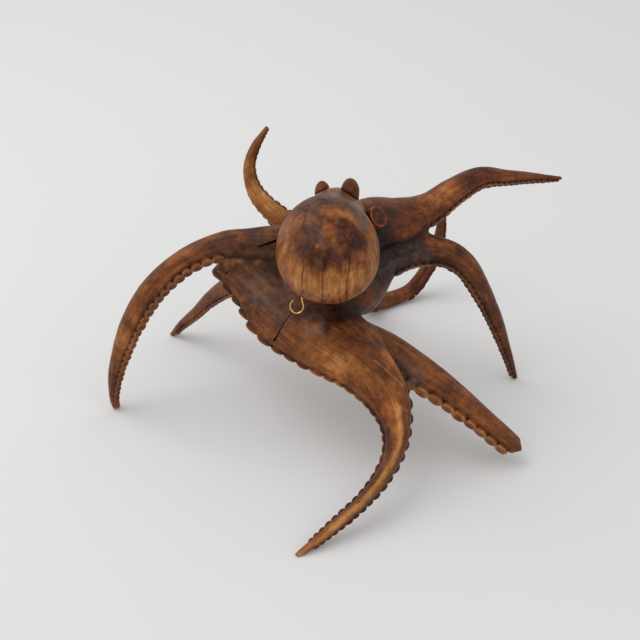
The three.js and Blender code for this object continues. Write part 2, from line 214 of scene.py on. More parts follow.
MANTLE_PITCH = 4.0
SPINES = {name: Spine(back, rows) for name, (back, rows) in ARMS.items()}
NECK_SPINE = Spine(*NECK)
MANTLE_SPINE = Spine(*MANTLE, pitch=MANTLE_PITCH)


# ---- Distance field -----------------------------------------------------------------
class Field:
    """Distances on a lattice whose points are whole multiples of the cell."""

    def __init__(self, low, high, cell=CELL):
        self.cell = cell
        self.first = np.floor(np.asarray(low) / cell).astype(int)
        self.shape = np.ceil(np.asarray(high) / cell).astype(int) - self.first + 1
        self.values = np.full(self.shape, FAR, np.float32)

    @classmethod
    def holding(cls, first, values):
        """A field of the given values, from the given lattice point on."""
        field = cls((0, 0, 0), (0, 0, 0))
        field.first, field.shape, field.values = first, np.array(values.shape), values
        return field

    def window(self, low, high):
        """Slices of this field between two corners, and the coordinates along each axis."""
        start = np.clip(np.floor(np.asarray(low) / self.cell).astype(int) - self.first, 0, self.shape)
        stop = np.clip(np.ceil(np.asarray(high) / self.cell).astype(int) - self.first + 1, 0, self.shape)
        spans = [np.arange(a, b) for a, b in zip(start, stop)]
        axes = np.ix_(*[((s + f) * self.cell).astype(np.float32) for s, f in zip(spans, self.first)])
        return tuple(slice(a, b) for a, b in zip(start, stop)), axes

    def blend(self, other, softness):
        """Joins another field on the same lattice with a fillet."""
        low = other.first * self.cell
        at, _ = self.window(low, low + (other.shape - 1) * self.cell)
        mine = self.values[at]
        self.values[at] = smooth_min(mine, other.values, softness)

    def sample(self, points):
        """Trilinear value at each point."""
        where = points / self.cell - self.first
        base = np.clip(np.floor(where).astype(int), 0, self.shape - 2)
        return trilinear(self.values, base, where - base)


def trilinear(values, base, t):
    """Mixes the lattice's values at the eight corners round each point."""
    total = 0.0
    for corner in np.ndindex(2, 2, 2):
        weight = np.prod(np.where(np.array(corner), t, 1 - t), axis=1)
        i, j, k = ((base + corner) % values.shape).T
        total = total + weight * values[i, j, k]
    return total


def smooth_min(a, b, softness):
    h = np.maximum(softness - np.abs(a - b), 0)
    return np.minimum(a, b) - h * h * (0.25 / softness)


def ellipse_distance(u, v, half_u, half_v):
    ru, rv = u / half_u, v / half_v
    k0 = np.sqrt(ru * ru + rv * rv)
    k1 = np.sqrt((ru / half_u) ** 2 + (rv / half_v) ** 2) + 1e-6
    return k0 * (k0 - 1) / k1


def spine_field(spine, reach_root, reach_tip, blunt=0):
    """The field of a spine's elliptical tube, out to a reach that is longer at the root.

    `blunt` is the length of a rounded first end, where no ring may reach past its neighbours.
    """
    steep = 10
    reach = np.interp(spine.arc / spine.arc[-1], [0.35, 0.5], [reach_root, reach_tip])
    radius = np.maximum(spine.half, spine.crown) + reach
    field = Field((spine.centre - radius[:, None]).min(0), (spine.centre + radius[:, None]).max(0))
    last = len(spine.centre) - 2
    for i in range(last + 1):
        a, b = spine.centre[i], spine.centre[i + 1]
        pad = max(radius[i], radius[i + 1])
        at, (x, y, z) = field.window(np.minimum(a, b) - pad, np.maximum(a, b) + pad)
        axis = (b - a) / ((b - a) @ (b - a))
        t = ((x - a[0]) * axis[0] + (y - a[1]) * axis[1] + (z - a[2]) * axis[2]).astype(np.float32)
        length = np.linalg.norm(b - a)
        beyond = np.maximum(np.maximum(-t, t - 1), 0) * length
        beyond_end = (t > 1) if i == last else (t < 0) if i == 0 else None
        t = np.clip(t, 0, 1)
        dx, dy, dz = x - a[0] - t * (b - a)[0], y - a[1] - t * (b - a)[1], z - a[2] - t * (b - a)[2]
        across = unit(spine.across[i] + spine.across[i + 1])
        outward = unit(spine.outward[i] + spine.outward[i + 1])
        u = dx * across[0] + dy * across[1] + dz * across[2]
        v = dx * outward[0] + dy * outward[1] + dz * outward[2]

        def mixed(values):
            return values[i] + t * (values[i + 1] - values[i])

        d = ellipse_distance(u, v, mixed(spine.half), np.where(v > 0, mixed(spine.crown), mixed(spine.belly)))
        rounded = np.where(d > 0, np.hypot(d, beyond), d + (steep if spine.arc[i] < blunt else 1) * beyond)
        if beyond_end is not None:
            rounded = np.where(beyond_end, np.maximum(d, beyond), rounded)
        np.minimum(field.values[at], rounded, out=field.values[at])
    return field


def ellipsoid_field(centre, radii, reach):
    centre = put(centre)
    radii = np.asarray(radii, float)
    field = Field(centre - radii - reach, centre + radii + reach)
    at, (x, y, z) = field.window(centre - radii - reach, centre + radii + reach)
    rx, ry, rz = (x - centre[0]) / radii[0], (y - centre[1]) / radii[1], (z - centre[2]) / radii[2]
    k0 = np.sqrt(rx * rx + ry * ry + rz * rz)
    k1 = np.sqrt((rx / radii[0]) ** 2 + (ry / radii[1]) ** 2 + (rz / radii[2]) ** 2) + 1e-6
    field.values[at] = k0 * (k0 - 1) / k1
    return field


def surface(field, level=0.0):
    """Vertices and quads of the field's level surface, by surface nets."""
    values = field.values - level
    inside = values < 0
    count = np.zeros(np.array(inside.shape) - 1, np.int8)
    corners = list(np.ndindex(2, 2, 2))
    for c in corners:
        count += inside[c[0]:inside.shape[0] - 1 + c[0], c[1]:inside.shape[1] - 1 + c[1],
                        c[2]:inside.shape[2] - 1 + c[2]]
    active = (count > 0) & (count < 8)
    cells = np.argwhere(active)
    number = np.full(active.shape, -1, np.int32)
    number[active] = np.arange(len(cells))
    corner_values = {c: values[tuple((cells + c).T)] for c in corners}
    total, hits = np.zeros((len(cells), 3)), np.zeros(len(cells))
    for a in corners:
        for axis in range(3):
            if a[axis]:
                continue
            b = tuple(1 if k == axis else a[k] for k in range(3))
            va, vb = corner_values[a], corner_values[b]
            crossing = (va < 0) != (vb < 0)
            t = np.where(crossing, va / np.where(crossing, va - vb, 1), 0)
            point = np.array(a, float) + t[:, None] * (np.array(b) - np.array(a))
            total += point * crossing[:, None]
            hits += crossing
    verts = (cells + total / hits[:, None] + field.first) * field.cell
    quads = []
    for axis in range(3):
        low = [slice(None)] * 3
        high = [slice(None)] * 3
        low[axis], high[axis] = slice(0, -1), slice(1, None)
        change = inside[tuple(low)] != inside[tuple(high)]
        edges = np.argwhere(change)
        u, v = np.eye(3, dtype=int)[(axis + 1) % 3], np.eye(3, dtype=int)[(axis + 2) % 3]
        ring = [edges - u - v, edges - v, edges, edges - u]
        quad = np.stack([number[tuple(cell.T)] for cell in ring], 1)
        outwards = inside[tuple(edges.T)]
        quads.append(np.where(outwards[:, None], quad, quad[:, ::-1]))
    return verts, np.vstack(quads)


# ---- Meshes -------------------------------------------------------------------------
def new_object(name, verts, faces):
    """A mesh object in metres from millimetre vertices."""
    mesh = bpy.data.meshes.new(name)
    if isinstance(faces, np.ndarray):
        mesh.vertices.add(len(verts))
        mesh.vertices.foreach_set("co", (np.asarray(verts) * MM).astype(np.float32).ravel())
        mesh.loops.add(faces.size)
        mesh.loops.foreach_set("vertex_index", faces.astype(np.int32).ravel())
        mesh.polygons.add(len(faces))
        mesh.polygons.foreach_set("loop_start", np.arange(0, faces.size, faces.shape[1], dtype=np.int32))
        mesh.update(calc_edges=True)
    else:
        mesh.from_pydata((np.asarray(verts) * MM).tolist(), [], faces)
    mesh.validate()
    obj = bpy.data.objects.new(name, mesh)
    bpy.context.scene.collection.objects.link(obj)
    return obj


def copy_of(obj, name):
    twin = bpy.data.objects.new(name, obj.data.copy())
    bpy.context.scene.collection.objects.link(twin)
    return twin


def boolean(obj, tool, operation):
    """Joins, cuts or intersects obj with tool, in place."""
    modifier = obj.modifiers.new("cut", "BOOLEAN")
    modifier.operation = operation
    modifier.solver = "MANIFOLD"
    modifier.object = tool
    evaluated = obj.evaluated_get(bpy.context.evaluated_depsgraph_get())
    mesh = bpy.data.meshes.new_from_object(evaluated)
    obj.modifiers.clear()
    old = obj.data
    obj.data = mesh
    bpy.data.meshes.remove(old)


def discard(*objects):
    for obj in objects:
        bpy.data.objects.remove(obj)


def coords(obj):
    """The object's vertices in millimetres."""
    flat = np.empty(len(obj.data.vertices) * 3, np.float32)
    obj.data.vertices.foreach_get("co", flat)
    return flat.reshape(-1, 3).astype(float) / MM


def mesh_of(name, parts):
    """One object from several (vertices, triangles) parts."""
    verts, faces, count = [], [], 0
    for part_verts, part_faces in parts:
        verts.append(part_verts)
        faces.append(np.asarray(part_faces) + count)
        count += len(part_verts)
    return new_object(name, np.vstack(verts), np.vstack(faces))


def revolve(profile, sides):
    """Vertices and triangles of a closed turning about +Z: the profile's radii start and end at zero."""
    turned = np.array(profile[1:-1], float)
    angle = np.arange(sides) * 2 * math.pi / sides
    rings = [np.stack([r * np.cos(angle), r * np.sin(angle), np.full(sides, h)], 1) for r, h in turned]
    verts = np.vstack([[[0, 0, profile[0][1]]]] + rings + [[[0, 0, profile[-1][1]]]])
    j = np.arange(sides)
    k = (j + 1) % sides
    faces = [np.stack([np.zeros(sides, int), 1 + k, 1 + j], 1)]
    for i in range(len(turned) - 1):
        a, b = 1 + i * sides, 1 + (i + 1) * sides
        faces += [np.stack([a + j, a + k, b + k], 1), np.stack([a + j, b + k, b + j], 1)]
    top = 1 + (len(turned) - 1) * sides
    faces.append(np.stack([top + j, top + k, np.full(sides, len(verts) - 1)], 1))
    return verts, np.vstack(faces)


def frame_along(axis):
    """A rotation whose third column is the axis."""
    w = unit(axis)
    u = unit(np.cross([0.0, 1.0, 0.0] if abs(w[1]) < 0.9 else [1.0, 0.0, 0.0], w))
    return np.stack([u, np.cross(w, u), w], 1)


def placed(shape, at, axis, scale=1.0):
    verts, faces = shape
    return verts * scale @ frame_along(axis).T + np.asarray(at, float), faces


def rod(at, axis, diameter, length, sides=16):
    """A round bar centred on a point."""
    r, h = diameter / 2, length / 2
    return placed(revolve([(0, -h), (r, -h), (r, h), (0, h)], sides), at, axis)


def soft_noise(points, size, seed):
    """Smooth value noise from -1 to 1, with bumps about `size` across."""
    table = np.random.default_rng(seed).uniform(-1, 1, (32, 32, 32))
    where = np.asarray(points) / size
    base = np.floor(where).astype(int)
    t = where - base
    return trilinear(table, base, t * t * (3 - 2 * t))


def relaxed(verts, quads, rounds):
    """Evens out a quad mesh by moving each vertex towards its neighbours and part of the way back."""
    a = np.concatenate([quads[:, i] for i in range(4)])
    b = np.concatenate([quads[:, (i + 1) % 4] for i in range(4)])
    count = np.bincount(a, minlength=len(verts))[:, None]
    for step in [0.5, -0.4] * rounds:
        mean = np.stack([np.bincount(a, verts[b, k], len(verts)) for k in range(3)], 1) / count
        verts = verts + step * (mean - verts)
    return verts


# ---- The carving's field ------------------------------------------------------------
def untangle(values):
    """Fills lattice faces whose corners alternate, so that the surface is manifold."""
    for _ in range(6):
        found = 0
        for axis in range(3):
            v = np.moveaxis(values, axis, 0)
            a, b, c, d = v[:, :-1, :-1], v[:, 1:, :-1], v[:, 1:, 1:], v[:, :-1, 1:]
            checker = ((a < 0) == (c < 0)) & ((b < 0) == (d < 0)) & ((a < 0) != (b < 0))
            i, j, k = np.nonzero(checker)
            found += len(i)
            for di, dj in ((0, 0), (1, 0), (1, 1), (0, 1)):
                corner = v[i, j + di, k + dj]
                v[i, j + di, k + dj] = np.where(corner >= 0, -0.05, corner)
        if not found:
            return


def ridge(field, spine, first, last, height, width):
    """Raises a rib along the crown of a spine, between two shares of its length."""
    near = np.argwhere(np.abs(field.values) < height + 3)
    points = (near + field.first) * field.cell
    along, across, outward = spine.local(points).T
    share = along / spine.arc[-1]
    fade = np.clip((share - first) / 0.12, 0, 1) * np.clip((last - share) / 0.12, 0, 1)
    lift = height * fade * np.exp(-(across / width) ** 2) * np.clip(outward / 4, 0, 1)
    field.values[tuple(near.T)] -= lift.astype(np.float32)


def soften(field, rounds):
    """Evens out a field near its surface."""
    near, kept = 20, 16
    values = np.clip(field.values, -near, near)
    for _ in range(rounds):
        for axis in range(3):
            v = np.moveaxis(values, axis, 0)
            v[1:-1] = (v[:-2] + 2 * v[1:-1] + v[2:]) / 4
    field.values = np.where(np.abs(field.values) < kept, values, field.values)


LOW, HIGH = (-440, -420, -60), (440, 420, 500)
ROOT_REACH, TIP_REACH, HUB_REACH, MANTLE_REACH = 34, 17, 30, 16
HUB_FLOW, NECK_FLOW, MANTLE_FLOW = 1, 20, 9
SOFTENING = 30  # rounds
FLOOR = 0.2  # how high the wood's lowest points lie
own = {name: spine_field(spine, ROOT_REACH, TIP_REACH) for name, spine in SPINES.items()}
ridge(own["front"], SPINES["front"], 0.5, 1.0, 3.5, 6.0)
carving = Field(LOW, HIGH)
carving.blend(ellipsoid_field(*HUB, HUB_REACH), HUB_FLOW)
carving.blend(spine_field(NECK_SPINE, HUB_REACH, HUB_REACH, blunt=FAR), NECK_FLOW)
for name, softness in FLOW.items():
    carving.blend(own[name], softness)
mantle_field = spine_field(MANTLE_SPINE, MANTLE_REACH, MANTLE_REACH, blunt=NOSE_LENGTH)
soften(mantle_field, SOFTENING)
whole_field = Field(LOW, HIGH)
whole_field.values = carving.values.copy()
whole_field.blend(mantle_field, MANTLE_FLOW)
_, (_, _, heights) = whole_field.window(LOW, HIGH)
np.maximum(whole_field.values, FLOOR - heights, out=whole_field.values)
untangle(whole_field.values)

verts, quads = surface(whole_field)
verts = relaxed(verts, quads, 2)
whole = new_object("whole", verts, quads)


def normals_of(obj):
    flat = np.empty(len(obj.data.vertices) * 3, np.float32)
    obj.data.vertices.foreach_get("normal", flat)
    return flat.reshape(-1, 3).astype(float)


# The knife leaves the wood slightly uneven.
uneven = 0.45 * soft_noise(verts, 34, 1) + 0.25 * soft_noise(verts, 13, 2)
uneven *= np.clip(verts[:, 2] / 6, 0, 1)
moved = verts + normals_of(whole) * uneven[:, None]
whole.data.vertices.foreach_set("co", (moved * MM).astype(np.float32).ravel())

# ---- Suckers ------------------------------------------------------------------------
# Of each arm: the suckers' radius at the root and at the tip, how far the sucker side is rolled towards
# `across` at the root and at the tip, in degrees, and where the two rows start along the arm.
SUCKERS = {
    "left": (13, 5.2, 22, 22, 90, 165), "left_rear": (7.5, 4.6, 0, 0, 0, 0),
    "rear_left": (9.5, 5, 0, -45, 0, 0), "rear_right": (9.5, 6, 0, 0, 0, 0),
    "right_raised": (8, 5.2, -8, -8, 140, 150), "right": (8.5, 5, -20, -20, 20, 0),
    "front_right": (13, 12, -22, -22, 150, 60), "front": (15, 7, 0, 0, 0, 330)}
SUCKER_PITCH = 1.78  # in radii
CUP = [(0, -1.3), (0.84, -1.3), (0.95, -0.3), (0.99, 0.12), (1, 0.32), (0.98, 0.44), (0.88, 0.54),
       (0.72, 0.53), (0.36, 0.46), (0, 0.44)]  # radius and height, in radii
TILT = math.radians(50)
INSET = 0.55  # of a radius, from the edge of the arm


def sucker_row(name, side, rng):
    """Base, axis and radius of each sucker along one edge of an arm's underside."""
    spine = SPINES[name]
    large, small, roll_root, roll_tip, *starts = SUCKERS[name]
    length = spine.arc[-1]
    at, row = 4 + starts[(side + 1) // 2], []

    def here(values):
        return np.array([np.interp(at, spine.arc, column) for column in np.atleast_2d(values.T)])

    while at < length - max(2, 0.6 * small):
        half, belly, crown = here(spine.half)[0], here(spine.belly)[0], here(spine.crown)[0]
        radius = min(large + (small - large) * at / length, 0.85 * half) * rng.uniform(0.94, 1.06)
        roll = math.radians(roll_root + (roll_tip - roll_root) * at / length)
        spread = math.asin(np.clip(1 - INSET * radius / half, 0.55, 0.96))
        angle = roll + side * spread
        aside, down = half * math.sin(angle), (belly if math.cos(angle) > 0 else crown) * math.cos(angle)
        across, outward = unit(here(spine.across)), unit(here(spine.outward))
        base = here(spine.centre) + across * aside - outward * down
        lean = roll + side * TILT + math.radians(rng.uniform(-5, 5))
        row.append((base, across * math.sin(lean) - outward * math.cos(lean), radius))
        at += SUCKER_PITCH * radius
    return row


def exposed(base, axis, radius):
    """Whether most of a sucker's rim would stand clear of the wood and the floor."""
    turn = frame_along(axis)
    angle = np.arange(8) * math.pi / 4
    rim = base + axis * 0.5 * radius + radius * (np.outer(np.cos(angle), turn[:, 0])
                                                 + np.outer(np.sin(angle), turn[:, 1]))
    clear = whole_field.sample(rim) > 0.5
    return clear.sum() >= 6 and rim[:, 2].min() > 0.3


def apart(sucker, group):
    """Whether a sucker touches none of a group."""
    return all(np.linalg.norm(sucker[0] - other[0]) > 1.25 * (sucker[2] + other[2]) for other in group)


rng = np.random.default_rng(8)
suckers = [s for name in ARMS for side in (-1, 1) for s in sucker_row(name, side, rng) if exposed(*s)]
cup = revolve(CUP, 24)
groups = []
for sucker in suckers:
    free = next((group for group in groups if apart(sucker, group)), None)
    if free is None:
        groups.append([sucker])
    else:
        free.append(sucker)
for group in groups:
    tool = mesh_of("suckers", [placed(cup, base, axis, radius) for base, axis, radius in group])
    boolean(whole, tool, "UNION")
    discard(tool)

# ---- Holes, cracks and tool marks ---------------------------------------------------
def node_middle(name):
    """The middle of a CAD node, in millimetres."""
    low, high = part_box(name)
    return (np.array(low) + np.array(high)) / 2 / MM


def node_axis(name):
    """The long direction of a straight CAD node such as a dowel."""
    flat = np.array([v.co[:] for v in bpy.data.objects[name].data.vertices])
    return np.linalg.svd(flat - flat.mean(0), full_matrices=False)[2][0]


CLEAR_OF_WOOD, KEEN = 4, 0.15  # a blade's back above the wood, and half the width of its edge


def blade(start, end, normal, widths, depth):
    """A wedge-shaped cut along a line, as wide at its two ends as given."""
    start, end = put(start), put(end)
    down = -unit(normal)
    side = unit(np.cross(end - start, down))
    verts = []
    for point, width in ((start, widths[0]), (end, widths[1])):
        top, edge = point - down * CLEAR_OF_WOOD, point + down * depth
        verts += [top - side * width / 2, top + side * width / 2, edge + side * KEEN, edge - side * KEEN]
    faces = [(0, 1, 2), (0, 2, 3), (4, 6, 5), (4, 7, 6), (0, 4, 5), (0, 5, 1), (1, 5, 6), (1, 6, 2),
             (2, 6, 7), (2, 7, 3), (3, 7, 4), (3, 4, 0)]
    return np.array(verts), np.array(faces)


def cut_by(obj, parts):
    tool = mesh_of("tool", parts)
    boolean(obj, tool, "DIFFERENCE")
    discard(tool)


DOWELS = [name for name in frame["nodes"] if name.startswith(("dowel_", "peg_"))]
CLEARANCE = 0.3
PEG, DOWEL = (5, 18), (10, 44)  # diameter and length


def bore(name):
    """The blind hole for a dowel or peg."""
    wide, long = PEG if name.startswith("peg_") else DOWEL
    return rod(node_middle(name), node_axis(name), wide + 2 * CLEARANCE, long + 4 * CLEARANCE)


cut_by(whole, [bore(name) for name in DOWELS if not name.startswith("peg_")])
cut_by(whole, [bore(name) for name in DOWELS if name.startswith("peg_")])

# Nail holes: a point on the surface, the direction out of the wood and the width.
NAIL_HOLES = [
    ((-144, -22, 254), (-0.5, -0.4, 0.7), 3.4), ((-135, -41, 250), (-0.2, -0.8, 0.5), 4.2),
    ((203, -166, 76), (0.2, -0.7, 0.7), 3.2), ((228, -175, 56), (0.2, -0.7, 0.7), 3.2),
    ((57, -320, 49), (0.1, -0.6, 0.8), 2.4)]
NAIL_LENGTH = 16  # half of it is in the wood
cut_by(whole, [rod(put(at), out, wide, NAIL_LENGTH, 10) for at, out, wide in NAIL_HOLES])

# Marks of a pointed tool beside the siphon, given in the same way.
TOOL_MARKS = [((58, -20, 378), (0.7, 0.1, 0.7), 5), ((63, -17, 371), (0.8, 0.1, 0.6), 4.2),
              ((65, -63, 390), (0.7, 0.2, 0.7), 4), ((68, -70, 390), (0.7, 0.1, 0.7), 5),
              ((61, -57, 396), (0.7, 0.2, 0.7), 4.4)]
cut_by(whole, [placed(revolve([(0, -7), (0.3 * wide, -5), (0.5 * wide, 3), (0, 3)], 9), put(at), out)
               for at, out, wide in TOOL_MARKS])

# Three lengths of the split in the web, and the gap along the left arm's root: two ends on the surface, the
# direction out of the wood, the widths at the ends and the depth.
CRACKS = [
    ((-43, -79, 219), (-57, -93, 206), (-0.1, -0.6, 0.8), (1.2, 2), 7),
    ((-56, -92, 207), (-67, -104, 189), (-0.2, -0.75, 0.6), (2, 2.6), 9),
    ((-66, -103, 191), (-75, -99, 170), (-0.3, -0.85, 0.3), (2.6, 5), 12),
    ((-96, -22, 302), (-66, -15, 309), (0.1, -0.9, 0.4), (2.5, 6), 14)]
for crack in CRACKS:
    cut_by(whole, [blade(*crack)])

# ---- The wood is sawn into its pieces -----------------------------------------------
def beyond(point, along):
    """A function of the lattice's axes: below zero past the plane at the point."""
    at, n = put(point), unit(along)
    return lambda x, y, z: (at @ n - (x * n[0] + y * n[1] + z * n[2])).astype(np.float32)


def wedge(from_point, to_point):
    """Below zero between the two joint faces that run from the split line to these points."""
    upright = unit(SPLIT_UPRIGHT)

    def flat(point):
        ray = put(point) - SPLIT_APEX
        return unit(ray - (ray @ upright) * upright)

    a, b = flat(from_point), flat(to_point)
    first = beyond(SPLIT_APEX - SHIFT, b - (b @ a) * a)
    second = beyond(SPLIT_APEX - SHIFT, a - (a @ b) * b)
    return lambda x, y, z: np.maximum(first(x, y, z), second(x, y, z))


def outside_lap(x, y, z):
    """Below zero where the left arm lies: over the web it keeps above the lap joint."""
    root, outer = LAP_ROOT_X + SHIFT[0], LAP_OUTER_X + SHIFT[0]
    return np.minimum(x - outer, np.maximum(x - root, LAP_HEIGHT - z)) + 0 * y


def region_of(field, margin, *limits):
    """A field below zero within a margin of another's surface and inside the limits."""
    region = Field.holding(field.first, field.values - margin)
    low = field.first * field.cell
    _, axes = field.window(low, low + (np.array(field.shape) - 1) * field.cell)
    for limit in limits:
        region.values = np.maximum(region.values, limit(*axes))
    return region


def nearer(*names):
    """The field of the nearer of several arms."""
    lows = np.min([own[name].first * CELL for name in names], axis=0)
    highs = np.max([(own[name].first + own[name].shape - 1) * CELL for name in names], axis=0)
    both = Field(lows, highs)
    for name in names:
        both.blend(own[name], 0.1)
    return both


def same_window(field, other):
    """One field's values over another's lattice."""
    at, _ = field.window(other.first * CELL, (other.first + other.shape - 1) * CELL)
    return field.values[at]


MARGIN = 15  # how far a region reaches past its arm's own surface
SAW = 0.05  # between two glued pieces
mantle_region = region_of(mantle_field, 0)
# The mantle keeps the wood that the blend adds to it where the neck doesn't reach.
outside_body = np.maximum(mantle_field.values - 6, 1 - same_window(carving, mantle_field))
mantle_region.values = np.minimum(mantle_region.values, outside_body)
front_arms = nearer("front", "front_right")
REGIONS = {"mantle": mantle_region}
for name, (at, along) in JOINTS.items():
    REGIONS["arm_" + name] = region_of(own[name], MARGIN, beyond(at, along))
REGIONS["arm_left"] = region_of(own["left"], MARGIN, outside_lap)
right_of_valley = own["front_right"].values - same_window(front_arms, own["front_right"]) - 0.05
REGIONS["arm_front_right"] = region_of(own["front_right"], MARGIN, beyond(*SCARF), lambda *_: right_of_valley)
REGIONS["arm_front"] = region_of(front_arms, MARGIN, wedge(TO_WEB_EDGE, TO_RIGHT))
REGIONS["web_left"] = region_of(own["front"], MARGIN + 2, wedge(TO_LAP, TO_WEB_EDGE))


def without_crumbs(obj):
    """Leaves only the mesh's largest connected part."""
    mesh = bmesh.new()
    mesh.from_mesh(obj.data)
    mesh.verts.ensure_lookup_table()
    seen, parts = set(), []
    for vert in mesh.verts:
        if vert.index in seen:
            continue
        part, queue = [], [vert]
        seen.add(vert.index)
        while queue:
            v = queue.pop()
            part.append(v)
            for edge in v.link_edges:
                other = edge.other_vert(v)
                if other.index not in seen:
                    seen.add(other.index)
                    queue.append(other)
        parts.append(part)
    parts.sort(key=len)
    for part in parts[:-1]:
        bmesh.ops.delete(mesh, geom=part, context="VERTS")
    mesh.to_mesh(obj.data)
    mesh.free()


def region_mesh(region, level):
    padded = Field.holding(region.first - 1, np.pad(region.values, 1, constant_values=FAR))
    untangle(padded.values)
    return new_object("region", *surface(padded, level))


pieces = {}
for name, region in REGIONS.items():
    piece = copy_of(whole, name + "_carved")
    tool = region_mesh(region, 0)
    boolean(piece, tool, "INTERSECT")
    discard(tool)
    tool = region_mesh(region, SAW)
    boolean(whole, tool, "DIFFERENCE")
    discard(tool)
    without_crumbs(piece)
    pieces[name] = piece
whole.name = "body_carved"
without_crumbs(whole)
pieces["body"] = whole

# ---- Head pieces --------------------------------------------------------------------
# Each eye's foot, its top and its radius.
EYES = {"left_eye": ((6, 22, 360), (2, 28, 389), 12.5), "right_eye": ((45, 9, 364), (46, 12, 402), 14.8)}
SIPHON_BASE, SIPHON_RIM, SIPHON_RADIUS = (66, 14, 322), (90, 0, 343), 17
EYE_OUTLINES = {  # radius and height, as shares of the knob's
    "left_eye": [
        (0, -0.2), (1.12, -0.2), (1.06, 0.1), (1.04, 0.3), (0.98, 0.5), (0.84, 0.68), (0.62, 0.84),
        (0.36, 0.95), (0.14, 0.995), (0, 1)],
    "right_eye": [
        (0, -0.2), (0.86, -0.2), (0.9, 0.1), (0.98, 0.3), (0.98, 0.48), (0.88, 0.66), (0.72, 0.8),
        (0.55, 0.9), (0.42, 0.95), (0.22, 0.985), (0, 1)]}
SIPHON_OUTLINE = [
    (0, -0.35), (0.66, -0.35), (0.72, 0), (0.88, 0.34), (1, 0.7), (1.03, 0.92), (0.97, 1.02), (0.88, 1.0),
    (0.74, 0.93), (0.58, 0.86), (0.34, 0.8), (0, 0.76)]
skin = surface(region_of(whole_field, 0), GAP)


def smooth_profile(points, steps):
    """A rounded run through an outline's points, on the axis at both ends."""
    fine = []
    points = np.array(points, float)
    for i in range(len(points) - 1):
        p1, p2 = points[i], points[i + 1]
        p0 = points[i - 1] if i else p1
        p3 = points[i + 2] if i + 2 < len(points) else p2
        fine += [bend(p0, p1, p2, p3, t) for t in np.arange(steps) / steps]
    fine.append(points[-1])
    fine = [(max(r, 0.0), h) for r, h in fine]
    return [(0, fine[0][1])] + [p for p in fine if p[0] > 0.01] + [(0, fine[-1][1])]


def standing(base, tip, outline, radius, sides=40):
    """A turned shape on the line from base to tip."""
    base, tip = put(base), put(tip)
    height = np.linalg.norm(tip - base)
    profile = [(r * radius, h * height) for r, h in smooth_profile(outline, 4)]
    return placed(revolve(profile, sides), base, tip - base)


def hand_carved(name, shape, depth, size, seeds):
    """A head piece whose surface is uneven by a depth, in bumps of a size."""
    verts, faces = shape
    verts = verts + depth * np.stack([soft_noise(verts, size, seed) for seed in seeds], 1)
    return new_object(name + "_carved", verts, faces)


skin_tool = new_object("skin", *skin)
for name, (base, tip, radius) in EYES.items():
    pieces[name] = hand_carved(name, standing(base, tip, EYE_OUTLINES[name], radius), 0.35, 9, (31, 32, 33))
siphon_shape = standing(SIPHON_BASE, SIPHON_RIM, SIPHON_OUTLINE, SIPHON_RADIUS, 48)
pieces["siphon"] = hand_carved("siphon", siphon_shape, 0.5, 11, (41, 42, 43))
for name in (*EYES, "siphon"):
    boolean(pieces[name], skin_tool, "DIFFERENCE")
    cut_by(pieces[name], [bore("peg_" + name)])
    without_crumbs(pieces[name])
discard(skin_tool)

# ---- Grain and colour ---------------------------------------------------------------
# How light each arm's wood is, from 0, almost black, to 1, tan; and how red, from 0 to 1.
ARM_TONES = {
    "left": (0.47, 0.4), "left_rear": (0.49, 0.3), "rear_left": (0.62, 0.35), "rear_right": (0.4, 0.55),
    "right_raised": (0.4, 0.7), "right": (0.35, 0.4), "front_right": (0.48, 0.45), "front": (0.52, 0.42)}
